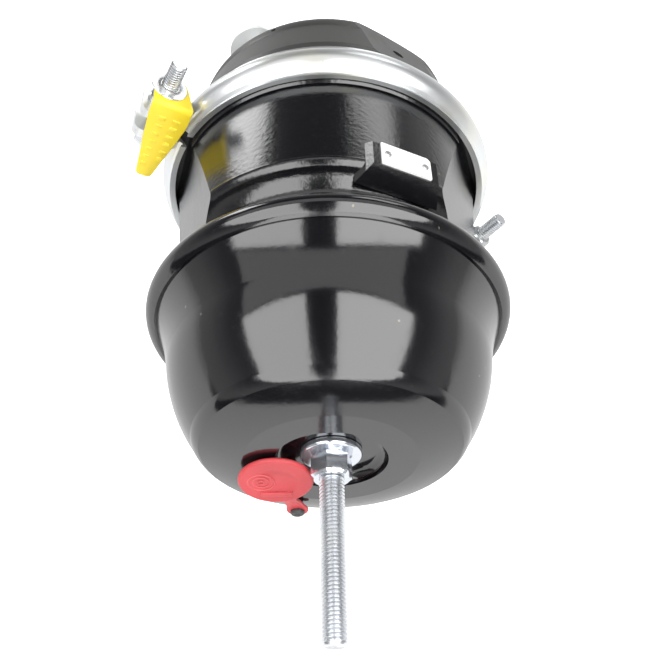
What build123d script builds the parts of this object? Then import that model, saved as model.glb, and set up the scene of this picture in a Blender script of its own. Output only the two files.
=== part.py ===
from build123d import *
import os
from math import atan2, cos, degrees, radians, sin

os.makedirs("parts", exist_ok=True)

# Layout: the axis is Y, the mounting face is y = 0, studs and push rod point to +Y, up is +Z.
housing_depth = 71.5        # mounting face to the middle of the clamp
case_depth = 112.5          # middle of the clamp to the rim of the spring head
head_depth = 83.8           # rim of the spring head to its closed end
stroke = 76.2
clamp_y = -housing_depth
rim_y = clamp_y - case_depth
head_end = rim_y - head_depth

# Running and seating clearances
slide_gap = 0.05            # radial, shaft in its guide
seat_gap = 0.1              # axial, part resting on part
thread_gap = 0.05           # radial, nut on its bolt
loose_gap = 0.4             # radial, washer on its bolt

# Flange case casting
case_r = 93.0               # main cylinder
neck_step = 11.0            # how far the waist next to the spring head lies inside the cylinder
neck_r = case_r - neck_step
shoulder_step = 3.0
shoulder_r = case_r - shoulder_step
flange_step = 6.6           # rim that the clamp grips, beyond the cylinder
clamp_flange_r = case_r + flange_step
case_flange_t = 7.5
web_t = 6.0
web_to_clamp = 68.5
web_back = clamp_y - web_to_clamp
web_front = web_back - web_t
hub_r = 50.0                # thick middle of the web
hub_rise = 8.0
hub_back = web_back + hub_rise
pocket_depth = 9.0          # seat of the adapter return spring
pocket_in_r = 27.0
pocket_out_r = 47.5
facet_clock = 72.0          # the two flat sides of the casting
facet_depth = 8.0           # flat below the cylinder, half way along
facet_mid_d = case_r - facet_depth
facet_tilt = 9.7
plate_clock = 25.6          # nameplate boss
boss_len = 44.0
boss_wide = 22.0
boss_stand = 2.3            # boss top beyond the cylinder
boss_d = case_r + boss_stand
nameplate_len = 29.0
nameplate_wide = 15.0
nameplate_t = 1.2
nameplate_y = rim_y + 43.0
rivet_r = 2.0
rivet_pitch = 22.0
port_r = 7.35
port_boss_r = 13.0
port_stand = 4.0            # port face beyond the cylinder
port_face = case_r + port_stand
service_port_clock = 150.0
spring_port_clock = -150.0
service_port_y = clamp_y - 45.0
spring_port_y = rim_y + 23.6

# Spring head
sheet_t = 3.2
lip_r = 102.5
lip_sheet = 3.5
lip_gap = 0.2               # radial, rim of the casting inside the rolled lip
case_flange_r = lip_r - lip_sheet - lip_gap
recess_r = 29.3
recess_depth = 5.8
key_slot_len = 30.0
key_slot_wide = 13.8
key_slot_wall = 3.2
peg_x = -19.3
peg_inset = 48.2            # peg inside the lip, downwards
peg_z = peg_inset - lip_r
peg_r = 2.9
peg_head_r = 4.0

# Clamp
clamp_half_w = 12.8
band_t = 3.0
crown_gap = 1.7             # radial, rim to the inside of the band
crown_r = clamp_flange_r + crown_gap + band_t
band_lip_step = 0.7         # band edge inside the rim
clamp_lip_r = clamp_flange_r - band_lip_step
band_bore_gap = 2.6         # radial, band edge to the cylinder
clamp_bore_r = case_r + band_bore_gap
bolt_stand = {-1: 12.9, 1: 8.7}         # left and right clamp bolt outside the crown
bolt_lines = {side: crown_r + stand for side, stand in bolt_stand.items()}
bolt_lean = 3.5             # the tightened ears splay the bolts outward
bolt_clock = 32.4           # direction of the split between the two halves
ear_half_w = 12.2
ear_t = 6.0
ear_reach = 11.2
split_lo = -4.0
split_hi = 5.0
clamp_bolt_r = 4.76
clamp_bolt_tip = 39.5
clamp_nut_h = 10.0
clamp_nut_af = 14.3
bolt_head_h = 9.0
bolt_flange_r = 8.5
bolt_flange_t = 2.4
tag_t = 1.2
tag_left = 7.6              # tag edges from the bolt axis
tag_right = 15.6
tag_drop = 58.0
tag_front = 14.6            # tag in front of the bolt axis
retainer_r = 10.5
retainer_t = 1.2

# Non-pressure housing
shell_t = 3.6
stud_pcd = 120.65
stud_margin = 14.675        # flat end of the housing beyond the stud circle
housing_end_r = stud_pcd / 2 + stud_margin
flat_step = 2.0             # housing flats outside that end, at their outer edge
housing_flat = housing_end_r + flat_step
housing_flat_tilt = 17.0
housing_open_r = 16.0
vent_r = 3.8                # one vent in each flat
vent_y = -28.5
drain_r = 1.5
drain_y = -12.0
drain_clock = -21.5
bead_t = 4.0                # diaphragm edge between the two flanges

# Mounting studs
stud_clock = -46.0
stud_r = 7.9375
stud_shank = 12.0
stud_neck_r = 8.8           # serrated neck pressed into the housing
stud_thread_r = 7.25        # pitch radius of the 5/8-11 thread
stud_len = 38.0
stud_head_r = 11.0
stud_head_t = 5.0
stud_nut_af = 23.8
stud_nut_h = 13.9
stud_nut_end = 34.0
stud_washer_r = 19.0
stud_washer_t = 3.0

# Push rod and push plate
rod_r = 7.9375
rod_body_out = 74.0
rod_thread_r = 7.5          # pitch radius of the 5/8-18 thread
rod_out = 98.0
push_plate_inset = 29.0     # push plate inside the cylinder
push_plate_r = case_r - push_plate_inset
push_plate_t = 4.0
collar_r = 13.0
collar_h = 8.0
jam_nut_y = 62.0
jam_nut_h = 9.5
jam_nut_af = 23.8
diaphragm_t = 3.3
service_spring_wire = 2.6
service_spring_small = 34.0
service_spring_large = 43.0

# Adapter rod and plate
adapter_r = 12.7
adapter_plate_inset = 22.0  # adapter plate inside the waist
adapter_plate_r = neck_r - adapter_plate_inset
adapter_plate_t = 4.0
bush_r = 17.0
ring_r = 1.5
adapter_spring_wire = 1.6
caged_depth = 44.2          # diaphragm inside the spring head, spring caged
spring_diaphragm_back = rim_y - caged_depth

# Pressure plate and release bolt
pressure_plate_inset = 37.5 # pressure plate inside the lip
pressure_plate_r = lip_r - pressure_plate_inset
pressure_plate_t = 4.0
pressure_hub_r = 20.0
pressure_hub_h = 12.3
hub_wall = 3.9
tee_len = 28.0
tee_wide = 12.0
tee_t = 7.0
bolt_r = 6.35
bolt_spare = 16.0           # bolt beyond the stroke, for the nut and washer
bolt_out = stroke + bolt_spare
nut_af = 19.05
nut_h = 12.6
washer_r = 16.06
washer_t = 3.5
power_wire = 5.0
power_small_r = 38.2

# Dust cap
cap_x = -29.0
cap_z = -11.5
cap_r = 19.7
cap_t = 2.6
cap_tilt = 6.5
cap_stand = 3.4
cap_plug_r = 11.0
eyelet_r = 6.2
strap_w = 9.0
strap_t = 2.0
strap_foot = 2.0            # start of the strap from the peg
strap_len = cap_z - 14.8 - peg_z - strap_foot


def profile(start, *steps):
    """Closed face in the XY plane; a step is an end point or an arc's middle and end."""
    with BuildSketch(Plane.XY) as drawn:
        with BuildLine():
            here = start
            for step in steps:
                if len(step) == 2:
                    Line(here, step)
                else:
                    ThreePointArc(here, step[:2], step[2:])
                here = step[-2:]
            Line(here, start)
        make_face()
    return drawn.sketch


def ring(r_in, r_out, y_lo, y_hi):
    """Square section of a ring about the Y axis."""
    return profile((r_in, y_lo), (r_out, y_lo), (r_out, y_hi), (r_in, y_hi))


def round_at(plane, radius):
    with BuildSketch(plane) as drawn:
        Circle(radius)
    return drawn.sketch


def hex_at(plane, across):
    with BuildSketch(plane) as drawn:
        RegularPolygon(across / 2, 6, major_radius=False)
    return drawn.sketch


def box_at(plane, length, width, rounding=0.0):
    with BuildSketch(plane) as drawn:
        if rounding:
            RectangleRounded(length, width, rounding)
        else:
            Rectangle(length, width)
    return drawn.sketch


def axial(x, y, z):
    """Plane facing +Y; its own x is X and its own y is -Z."""
    return Plane(origin=(x, y, z), x_dir=(1, 0, 0), z_dir=(0, 1, 0))


def radial(clock, distance, y):
    """Plane facing away from the axis; its own x runs round the chamber."""
    out = Vector(sin(radians(clock)), 0, cos(radians(clock)))
    side = (cos(radians(clock)), 0, -sin(radians(clock)))
    return Plane(origin=out * distance + Vector(0, y, 0), x_dir=side, z_dir=out)


def lug(side, height):
    """Plane square to a clamp bolt; its own x is +Y."""
    lean = radians(bolt_clock + side * bolt_lean)
    along = Vector(sin(lean), 0, cos(lean))
    across = Vector(cos(radians(bolt_clock)), 0, -sin(radians(bolt_clock)))
    place = across * (side * bolt_lines[side]) + along * height + Vector(0, clamp_y, 0)
    return Plane(origin=place, x_dir=(0, 1, 0), z_dir=along)


def coil(r_start, r_end, y_start, y_end, turns, wire):
    """Path and wire section of a conical coil spring."""
    high = y_end - y_start
    cone = degrees(atan2(r_end - r_start, high))
    with BuildLine() as path:
        Helix(high / turns, high, r_start, center=(0, y_start, 0), direction=(0, 1, 0), cone_angle=cone)
    with BuildSketch(Plane(origin=path.line @ 0, z_dir=path.line % 0)) as section:
        RegularPolygon(wire, 8)
    return section.sketch, path.line


# Flange case: the casting between the clamp and the spring head, with the web between the two
# pressure spaces, the waist, the flat sides, the nameplate boss and the port bosses.
flank_in = 12.2
with BuildPart() as flange_case:
    revolve(
        profile(
            (0, rim_y - 1.5),
            (case_flange_r, rim_y - 1.5),
            (case_flange_r, rim_y + case_flange_t - 1.5),
            (case_flange_r - 4.3, rim_y + case_flange_t - 1.5),
            (case_flange_r - 4.3, rim_y + 9.0),
            (neck_r + 2.6, rim_y + 13.0, neck_r, rim_y + 21.0),
            (neck_r + 0.6, rim_y + 29.5, shoulder_r, rim_y + 36.0),
            (case_r - 0.8, rim_y + 37.6, case_r, rim_y + 41.5),
            (case_r, clamp_y - flank_in),
            (clamp_flange_r - 0.2, clamp_y - 5.2),
            (clamp_flange_r, clamp_y - bead_t / 2),
            (0, clamp_y - bead_t / 2),
        ),
        axis=Axis.Y,
    )
    for side in (-1, 1):
        flat = radial(side * facet_clock, facet_mid_d, web_back + 24.0) * Rot(X=facet_tilt)
        extrude(box_at(flat, 120, 99), amount=40, mode=Mode.SUBTRACT)
    with BuildSketch(radial(plate_clock, boss_d, nameplate_y - 0.6)):
        Rectangle(boss_len - 6.0, boss_wide - 6.0)
    extrude(amount=-12.0, taper=-24)
    for clock, y in ((service_port_clock, service_port_y), (spring_port_clock, spring_port_y)):
        extrude(round_at(radial(clock, port_face, y), port_boss_r), amount=-24)
    revolve(
        profile(
            (0, hub_back),
            (hub_r - 4, hub_back),
            (hub_r + 2.0, hub_back - 3.0, hub_r + 6.0, web_back),
            (case_r - 24.0, web_back),
            (case_r - 18.5, web_back + 2.0, case_r - 17.0, web_back + 8.0),
            (case_r - 6.5, clamp_y - 12.0),
            (case_r - 1.0, clamp_y - bead_t / 2),
            (0, clamp_y - bead_t / 2),
        ),
        axis=Axis.Y,
        mode=Mode.SUBTRACT,
    )
    revolve(
        profile(
            (0, rim_y - 1.5),
            (lip_r - 7.3, rim_y - 1.5),
            (lip_r - 7.3, rim_y + 1.7),
            (lip_r - 14.0, rim_y + 1.7),
            (neck_r - 3.0, rim_y + 6.5, neck_r - 8.5, rim_y + 20.0),
            (neck_r - 11.0, web_front - 6.0),
            (neck_r - 11.8, web_front - 1.2, neck_r - 16.0, web_front),
            (0, web_front),
        ),
        axis=Axis.Y,
        mode=Mode.SUBTRACT,
    )
    revolve(ring(pocket_in_r, pocket_out_r, web_front, web_front + pocket_depth), axis=Axis.Y, mode=Mode.SUBTRACT)
    extrude(round_at(axial(0, web_front - 1, 0), bush_r), amount=30, mode=Mode.SUBTRACT)
    for clock, y in ((service_port_clock, service_port_y), (spring_port_clock, spring_port_y)):
        extrude(round_at(radial(clock, port_face, y), port_r), amount=-28, mode=Mode.SUBTRACT)
    for shift in (-1, 1):
        extrude(
            round_at(radial(plate_clock, boss_d, nameplate_y) * Pos(shift * rivet_pitch / 2, 0, 0), rivet_r - 0.8),
            amount=-4.0,
            mode=Mode.SUBTRACT,
        )
flange_case.part.label = "flange_case"
export_step(flange_case.part, "parts/flange_case.step")

# Spring head: pressed bowl with a rolled lip and a dished seat for the release nut's washer.
seat_y = head_end + recess_depth
with BuildPart() as spring_head:
    revolve(
        profile(
            (0, seat_y),
            (24.0, seat_y),
            (27.6, seat_y - 1.4, recess_r, head_end),
            (45.2, head_end),
            (lip_r - 44.9, head_end + 2.2, lip_r - 34.5, head_end + 5.2),
            (lip_r - 31.9, head_end + 7.6, lip_r - 30.1, head_end + 10.9),
            (lip_r - 22.2, rim_y - 59.5, lip_r - 13.9, rim_y - 30.5),
            (lip_r - 11.2, rim_y - 18.0, lip_r - 6.2, rim_y - 5.2),
            (lip_r - 5.1, rim_y - 5.6),
            (lip_r, rim_y - 0.2, lip_r - 2.6, rim_y + 7.2),
            (lip_r - 3.9, rim_y + 8.9),
            (lip_r - 7.1, rim_y + 8.9),
            (lip_r - 7.1, rim_y + case_flange_t - 1.4),
            (lip_r - lip_sheet, rim_y + case_flange_t - 1.4),
            (lip_r - lip_sheet, rim_y - 1.6),
            (lip_r - 9.1, rim_y - 1.6),
            (lip_r - 9.9, rim_y - 6.0),
            (lip_r - 14.5, rim_y - 18.5, lip_r - 17.1, rim_y - 31.0),
            (lip_r - 25.3, rim_y - 57.6, lip_r - 32.9, head_end + 12.3),
            (lip_r - 34.3, head_end + 9.8, lip_r - 36.1, head_end + 8.2),
            (lip_r - 45.5, head_end + 5.4, 45.2, head_end + sheet_t),
            (32.6, head_end + sheet_t),
            (30.6, seat_y + 1.4, 26.0, seat_y + sheet_t),
            (0, seat_y + sheet_t),
        ),
        axis=Axis.Y,
    )
    extrude(round_at(axial(0, seat_y - 2, 0), bolt_r + 1.2), amount=10, mode=Mode.SUBTRACT)
    extrude(box_at(axial(0, seat_y - 2, 0), key_slot_wide, key_slot_len, 3.0), amount=10, mode=Mode.SUBTRACT)
    extrude(round_at(axial(peg_x, head_end - 2, peg_z), peg_r + slide_gap), amount=12, mode=Mode.SUBTRACT)
spring_head.part.label = "spring_head"
export_step(spring_head.part, "parts/spring_head.step")

# Nameplate and its two rivets
plate_plane = radial(plate_clock, boss_d, nameplate_y)
with BuildPart() as nameplate:
    with BuildSketch(plate_plane):
        corner = Rectangle(nameplate_len, nameplate_wide).vertices().sort_by(Axis.X)[-1]
        chamfer(corner, length=1.8)
        for shift in (-1, 1):
            with Locations((shift * rivet_pitch / 2, 0)):
                Circle(rivet_r - 0.7, mode=Mode.SUBTRACT)
    extrude(amount=nameplate_t)
nameplate.part.label = "nameplate"
export_step(nameplate.part, "parts/nameplate.step")

with BuildPart() as nameplate_rivets:
    for shift in (-1, 1):
        spot = plate_plane * Pos(shift * rivet_pitch / 2, 0, nameplate_t)
        extrude(round_at(spot, rivet_r), amount=0.9, taper=20)
        extrude(round_at(spot, rivet_r - 0.85), amount=-4.2)
nameplate_rivets.part.label = "nameplate_rivets"
export_step(nameplate_rivets.part, "parts/nameplate_rivets.step")


# Clamp ring in two halves, each with two ears
def clamp_band():
    with BuildPart() as whole:
        revolve(
            profile(
                (case_r - 3.0, clamp_y - clamp_half_w + 1.0),
                (clamp_bore_r, clamp_y - clamp_half_w + 1.0),
                (clamp_lip_r, clamp_y - clamp_half_w),
                (clamp_lip_r, clamp_y - clamp_half_w + 1.6),
                (crown_r - 6.7, clamp_y - clamp_half_w + 2.8),
                (crown_r - 4.1, clamp_y - clamp_half_w + 3.9),
                (crown_r, clamp_y, crown_r - 4.1, clamp_y + clamp_half_w - 3.9),
                (crown_r - 6.7, clamp_y + clamp_half_w - 2.8),
                (clamp_lip_r, clamp_y + clamp_half_w - 1.6),
                (clamp_lip_r, clamp_y + clamp_half_w),
                (clamp_bore_r, clamp_y + clamp_half_w - 1.0),
                (case_r - 3.0, clamp_y + clamp_half_w - 1.0),
            ),
            axis=Axis.Y,
        )
        for side in (-1, 1):
            for low, high in ((split_hi, split_hi + ear_t), (split_lo - ear_t, split_lo)):
                with BuildSketch(lug(side, low)) as ear:
                    with Locations((0, -side * (ear_reach - 17.0) / 2)):
                        RectangleRounded(2 * ear_half_w, ear_reach + 17.0, 5.0)
                extrude(ear.sketch, amount=high - low)
        revolve(
            profile(
                (0, clamp_y - 30),
                (clamp_bore_r, clamp_y - 30),
                (clamp_bore_r, clamp_y - 10.0),
                (crown_r - band_t - 0.3, clamp_y - 4.4),
                (crown_r - band_t - 0.3, clamp_y + 4.4),
                (clamp_bore_r, clamp_y + 10.0),
                (clamp_bore_r, clamp_y + 30),
                (0, clamp_y + 30),
            ),
            axis=Axis.Y,
            mode=Mode.SUBTRACT,
        )
        for side in (-1, 1):
            extrude(round_at(lug(side, -40), clamp_bolt_r + 0.3), amount=80, mode=Mode.SUBTRACT)
    return whole.part


band = clamp_band()
split_plane = Plane(origin=(0, clamp_y, 0), x_dir=(0, 1, 0), z_dir=radial(bolt_clock, 0, 0).z_dir)
with BuildPart() as clamp_half_upper:
    add(band)
    extrude(box_at(split_plane.offset(split_hi), 80, 300), amount=-160, mode=Mode.SUBTRACT)
clamp_half_upper.part.label = "clamp_half_upper"
export_step(clamp_half_upper.part, "parts/clamp_half_upper.step")

with BuildPart() as clamp_half_lower:
    add(band)
    extrude(box_at(split_plane.offset(split_lo), 80, 300), amount=160, mode=Mode.SUBTRACT)
clamp_half_lower.part.label = "clamp_half_lower"
export_step(clamp_half_lower.part, "parts/clamp_half_lower.step")

with BuildPart() as clamp_bolts:
    for side in (-1, 1):
        under = split_lo - ear_t
        extrude(round_at(lug(side, under), clamp_bolt_r), amount=clamp_bolt_tip - under)
        extrude(round_at(lug(side, under - bolt_flange_t), bolt_flange_r), amount=bolt_flange_t)
        extrude(hex_at(lug(side, under - bolt_flange_t), clamp_nut_af), amount=-bolt_head_h)
clamp_bolts.part.label = "clamp_bolts"
export_step(clamp_bolts.part, "parts/clamp_bolts.step")

nut_base = split_hi + ear_t
with BuildPart() as clamp_nuts:
    for side in (-1, 1):
        extrude(round_at(lug(side, nut_base), bolt_flange_r), amount=bolt_flange_t)
        extrude(hex_at(lug(side, nut_base), clamp_nut_af), amount=clamp_nut_h)
        extrude(round_at(lug(side, nut_base - 1), clamp_bolt_r + thread_gap), amount=30, mode=Mode.SUBTRACT)
clamp_nuts.part.label = "clamp_nuts"
export_step(clamp_nuts.part, "parts/clamp_nuts.step")

# Tag folded over the left clamp bolt
tag_base = nut_base + clamp_nut_h
with BuildPart() as stroke_tag:
    with BuildSketch(lug(-1, tag_base)):
        with BuildLine():
            Polyline((-tag_front, tag_left), (10.6, tag_left + 0.6), (10.6, -9.6), (-tag_front, -tag_right),
                     (-tag_front, tag_left))
        plate = make_face()
        fillet(plate.vertices().sort_by(Axis.Y)[-2:], radius=6.0)
        Circle(clamp_bolt_r + 0.25, mode=Mode.SUBTRACT)
    extrude(amount=tag_t)
    front = lug(-1, tag_base + tag_t)
    face = Plane(origin=front.origin - Vector(0, tag_front, 0), x_dir=-front.y_dir, z_dir=(0, -1, 0))
    with BuildSketch(face):
        with BuildLine():
            Polyline(
                (-tag_left, 0),
                (tag_right, 0),
                (tag_right + 0.2, -13.0),
                (tag_right - 1.4, -23.0),
                (9.7, -tag_drop + 3.0),
                (0.3, -tag_drop),
                (-tag_left, -8.0),
                (-tag_left, 0),
            )
        make_face()
    extrude(amount=-tag_t)
stroke_tag.part.label = "stroke_tag"
export_step(stroke_tag.part, "parts/stroke_tag.step")

with BuildPart() as tag_retainer:
    extrude(round_at(lug(-1, tag_base + tag_t), retainer_r), amount=retainer_t)
    extrude(round_at(lug(-1, tag_base), clamp_bolt_r + thread_gap), amount=6, mode=Mode.SUBTRACT)
tag_retainer.part.label = "tag_retainer"
export_step(tag_retainer.part, "parts/tag_retainer.step")


# Non-pressure housing: pressed bowl with two flats, a vent and the push rod opening
def bowl(inset):
    low = clamp_y + bead_t / 2
    with BuildPart() as solid:
        revolve(
            profile(
                (0, low),
                (case_r + 2.2 - inset, low),
                (case_r + 2.2 - inset, clamp_y + 13.4),
                (case_r + 0.4 - inset, clamp_y + 19.0, case_r - 0.2 - inset, clamp_y + 26.0),
                (housing_end_r + 9.4 - inset, -16.0 - inset * 0.5),
                (housing_end_r + 6.6 - inset * 0.75, -5.4 - inset * 0.75, housing_end_r - inset, -inset),
                (0, -inset),
            ),
            axis=Axis.Y,
        )
        for turn in (bolt_clock, bolt_clock + 180):
            flat = Plane(radial(turn, housing_flat, -3.0) * Rot(X=-housing_flat_tilt)).offset(-inset)
            extrude(box_at(flat, 160, 102), amount=40, mode=Mode.SUBTRACT)
    return solid.part


outer_bowl = bowl(0)
inner_bowl = bowl(shell_t)
with BuildPart() as non_pressure_housing:
    add(outer_bowl)
    revolve(
        profile(
            (case_r - 3.0, clamp_y + bead_t / 2),
            (clamp_flange_r, clamp_y + bead_t / 2),
            (clamp_flange_r - 0.2, clamp_y + 5.2),
            (case_r + 0.2, clamp_y + flank_in - 0.2),
            (case_r - 3.0, clamp_y + flank_in - 0.2),
        ),
        axis=Axis.Y,
    )
    add(inner_bowl, mode=Mode.SUBTRACT)
    extrude(round_at(axial(0, -20, 0), housing_open_r), amount=30, mode=Mode.SUBTRACT)
    for turn in (stud_clock, stud_clock + 180):
        x = stud_pcd / 2 * sin(radians(turn))
        z = stud_pcd / 2 * cos(radians(turn))
        extrude(round_at(axial(x, -20, z), stud_neck_r + slide_gap), amount=30, mode=Mode.SUBTRACT)
    for turn in (bolt_clock, bolt_clock + 180):
        extrude(round_at(radial(turn, housing_end_r - 5, vent_y), vent_r), amount=40, mode=Mode.SUBTRACT)
    extrude(round_at(radial(drain_clock, housing_end_r - 5, drain_y), drain_r), amount=40, mode=Mode.SUBTRACT)
non_pressure_housing.part.label = "non_pressure_housing"
export_step(non_pressure_housing.part, "parts/non_pressure_housing.step")

# Mounting studs with their washers and nuts
stud_spots = []
for turn in (stud_clock, stud_clock + 180):
    stud_spots.append((stud_pcd / 2 * sin(radians(turn)), stud_pcd / 2 * cos(radians(turn))))
with BuildPart() as mounting_studs:
    for x, z in stud_spots:
        extrude(round_at(axial(x, -shell_t - stud_head_t - 0.02, z), stud_head_r), amount=stud_head_t)
        extrude(round_at(axial(x, -shell_t - 0.02, z), stud_neck_r), amount=shell_t + 0.02)
        extrude(round_at(axial(x, 0, z), stud_r), amount=stud_shank)
        extrude(round_at(axial(x, stud_shank, z), stud_thread_r), amount=stud_len - stud_shank)
mounting_studs.part.label = "mounting_studs"
export_step(mounting_studs.part, "parts/mounting_studs.step")

with BuildPart() as stud_nuts:
    for x, z in stud_spots:
        extrude(hex_at(axial(x, stud_nut_end - stud_nut_h, z), stud_nut_af), amount=stud_nut_h)
        extrude(round_at(axial(x, 0, z), stud_thread_r + thread_gap), amount=60, mode=Mode.SUBTRACT)
stud_nuts.part.label = "stud_nuts"
export_step(stud_nuts.part, "parts/stud_nuts.step")

with BuildPart() as stud_washers:
    for x, z in stud_spots:
        base = stud_nut_end - stud_nut_h - stud_washer_t
        extrude(round_at(axial(x, base, z), stud_washer_r), amount=stud_washer_t)
        extrude(round_at(axial(x, 0, z), stud_thread_r + loose_gap), amount=60, mode=Mode.SUBTRACT)
stud_washers.part.label = "stud_washers"
export_step(stud_washers.part, "parts/stud_washers.step")

# Service side: adapter rod end, diaphragm, push plate, push rod, return spring
adapter_end = hub_back + 0.5
service_front = adapter_end + 0.3
service_back = service_front + diaphragm_t
with BuildPart() as service_diaphragm:
    revolve(
        profile(
            (0, service_front),
            (case_r - 33.0, service_front),
            (case_r - 23.0, service_front + 1.5, case_r - 18.5, service_front + 10.0),
            (case_r - 9.0, clamp_y - 14.0),
            (case_r - 6.8, clamp_y - 7.4, case_r - 1.8, clamp_y - bead_t / 2 + 0.05),
            (clamp_flange_r - 0.6, clamp_y - bead_t / 2 + 0.05),
            (clamp_flange_r - 0.6, clamp_y + bead_t / 2 - 0.05),
            (case_r - 2.2, clamp_y + bead_t / 2 - 0.05),
            (case_r - 9.2, clamp_y - 5.6, case_r - 11.8, clamp_y - 13.0),
            (case_r - 21.6, service_front + 12.0),
            (case_r - 25.4, service_back + 1.2, case_r - 33.0, service_back),
            (0, service_back),
        ),
        axis=Axis.Y,
    )
service_diaphragm.part.label = "service_diaphragm"
export_step(service_diaphragm.part, "parts/service_diaphragm.step")

plate_front = service_back + 0.3
plate_back = plate_front + push_plate_t
with BuildPart() as push_plate:
    revolve(ring(0, push_plate_r - 3.0, plate_front, plate_back), axis=Axis.Y)
    revolve(
        profile(
            (push_plate_r - 3.0, plate_front),
            (push_plate_r - 0.6, plate_front + 1.0, push_plate_r, plate_front + 3.4),
            (push_plate_r, plate_back + 4.0),
            (push_plate_r - 3.0, plate_back + 4.0),
        ),
        axis=Axis.Y,
    )
    revolve(ring(rod_r + slide_gap, collar_r, plate_back, plate_back + collar_h), axis=Axis.Y)
push_plate.part.label = "push_plate"
export_step(push_plate.part, "parts/push_plate.step")

with BuildPart() as push_rod:
    extrude(round_at(axial(0, plate_back + 0.02, 0), rod_r), amount=rod_body_out - plate_back - 0.02)
    extrude(round_at(axial(0, rod_body_out, 0), rod_thread_r), amount=rod_out - rod_body_out)
    chamfer(push_rod.edges().group_by(Axis.Y)[-1], length=1.5)
push_rod.part.label = "push_rod"
export_step(push_rod.part, "parts/push_rod.step")

with BuildPart() as push_rod_jam_nut:
    extrude(hex_at(axial(0, jam_nut_y, 0), jam_nut_af), amount=jam_nut_h)
    extrude(round_at(axial(0, jam_nut_y - 1, 0), rod_r + thread_gap), amount=30, mode=Mode.SUBTRACT)
push_rod_jam_nut.part.label = "push_rod_jam_nut"
export_step(push_rod_jam_nut.part, "parts/push_rod_jam_nut.step")

with BuildPart() as return_spring:
    lift = service_spring_wire + 0.15
    section, path = coil(service_spring_small, service_spring_large,
                         plate_back + lift, -shell_t - lift, 5.5, service_spring_wire)
    sweep(section, path=path, is_frenet=True)
return_spring.part.label = "return_spring"
export_step(return_spring.part, "parts/return_spring.step")

# Spring side: adapter plate and rod through the web's bush, pressure plate, power spring
adapter_back = spring_diaphragm_back + 0.2 + adapter_plate_t
with BuildPart() as adapter_plate:
    revolve(ring(adapter_r + slide_gap, adapter_plate_r, adapter_back - adapter_plate_t, adapter_back),
            axis=Axis.Y)
    rounds = adapter_plate.edges().filter_by(GeomType.CIRCLE)
    fillet(rounds.filter_by(lambda edge: edge.radius > adapter_plate_r - 1), radius=1.5)
adapter_plate.part.label = "adapter_plate"
export_step(adapter_plate.part, "parts/adapter_plate.step")

with BuildPart() as adapter_push_rod:
    foot = adapter_back - adapter_plate_t
    extrude(round_at(axial(0, foot, 0), adapter_r), amount=adapter_end - foot)
    chamfer(adapter_push_rod.edges().group_by(Axis.Y)[-1], length=1.2)
adapter_push_rod.part.label = "adapter_push_rod"
export_step(adapter_push_rod.part, "parts/adapter_push_rod.step")

groove_ys = (web_front + 4.0, web_front + 9.5)
with BuildPart() as centre_guide:
    revolve(ring(adapter_r + slide_gap, bush_r - 0.05, web_front + 0.2, hub_back), axis=Axis.Y)
    for y in groove_ys:
        revolve(ring(adapter_r, adapter_r + 2 * ring_r + 0.1, y - ring_r - 0.1, y + ring_r + 0.1),
                axis=Axis.Y, mode=Mode.SUBTRACT)
centre_guide.part.label = "centre_guide"
export_step(centre_guide.part, "parts/centre_guide.step")

with BuildPart() as guide_o_rings:
    for y in groove_ys:
        with BuildSketch(Plane.XY) as section:
            with Locations((adapter_r + ring_r + 0.03, y)):
                Circle(ring_r)
        revolve(section.sketch, axis=Axis.Y)
guide_o_rings.part.label = "guide_o_rings"
export_step(guide_o_rings.part, "parts/guide_o_rings.step")

with BuildPart() as adapter_return_spring:
    lift = adapter_spring_wire + 0.15
    section, path = coil(22.0, pocket_out_r - 2.6, adapter_back + lift,
                         web_front + pocket_depth - lift, 4.5, adapter_spring_wire)
    sweep(section, path=path, is_frenet=True)
adapter_return_spring.part.label = "adapter_return_spring"
export_step(adapter_return_spring.part, "parts/adapter_return_spring.step")

spring_diaphragm_front = spring_diaphragm_back - diaphragm_t
with BuildPart() as spring_diaphragm:
    revolve(
        profile(
            (0, spring_diaphragm_front),
            (pressure_plate_r + 1.0, spring_diaphragm_front),
            (lip_r - 27.3, spring_diaphragm_front + 2.6, lip_r - 23.7, spring_diaphragm_front + 11.0),
            (lip_r - 17.9, rim_y - 16.0),
            (lip_r - 15.5, rim_y - 7.0, lip_r - 11.7, rim_y - 1.5),
            (lip_r - 7.5, rim_y - 1.5),
            (lip_r - 7.5, rim_y + 1.6),
            (lip_r - 13.7, rim_y + 1.6),
            (lip_r - 18.5, rim_y - 5.6, lip_r - 21.1, rim_y - 15.0),
            (lip_r - 27.1, spring_diaphragm_front + 12.4),
            (lip_r - 29.9, spring_diaphragm_back + 2.0, pressure_plate_r, spring_diaphragm_back),
            (0, spring_diaphragm_back),
        ),
        axis=Axis.Y,
    )
spring_diaphragm.part.label = "spring_diaphragm"
export_step(spring_diaphragm.part, "parts/spring_diaphragm.step")

pressure_back = spring_diaphragm_front - 0.2
pressure_front = pressure_back - pressure_plate_t
hub_front = pressure_front - pressure_hub_h
with BuildPart() as pressure_plate:
    revolve(ring(0, pressure_plate_r, pressure_front, pressure_back), axis=Axis.Y)
    revolve(ring(pressure_plate_r - 2.0, pressure_plate_r, pressure_front - 4.0, pressure_front), axis=Axis.Y)
    revolve(ring(0, pressure_hub_r, hub_front, pressure_front), axis=Axis.Y)
    revolve(ring(0, tee_len / 2 + 1.8, hub_front + hub_wall, pressure_front), axis=Axis.Y, mode=Mode.SUBTRACT)
    extrude(box_at(axial(0, hub_front - 1, 0), key_slot_wide, tee_len + 1.6, 3.0),
            amount=hub_wall + 2, mode=Mode.SUBTRACT)
pressure_plate.part.label = "pressure_plate"
export_step(pressure_plate.part, "parts/pressure_plate.step")

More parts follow.
